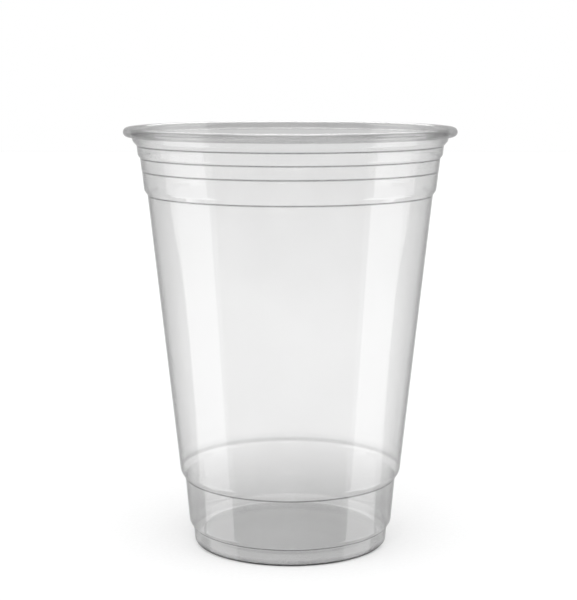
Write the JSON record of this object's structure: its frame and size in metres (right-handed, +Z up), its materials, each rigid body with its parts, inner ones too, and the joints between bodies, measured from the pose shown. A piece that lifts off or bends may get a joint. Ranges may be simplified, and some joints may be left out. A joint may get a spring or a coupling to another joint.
{
  "type": "plastic disposable cup",
  "caption": "Clear thin-walled tapered drinking cup with a rolled rim, stepped bands for a lid, a stacking shoulder and a floor raised inside a foot ring.",
  "frame": {"origin": "centre of the foot ring, in the plane that the cup stands on", "axes": "+Z up along the cup's axis towards the rim; the cup is round, so X and Y are free"},
  "size_m": [0.095, 0.095, 0.121],
  "materials": {
    "clear_plastic": "clear and glossy"
  },
  "bodies": {
    "root": {"cup": "clear_plastic"}
  },
  "joints": []
}
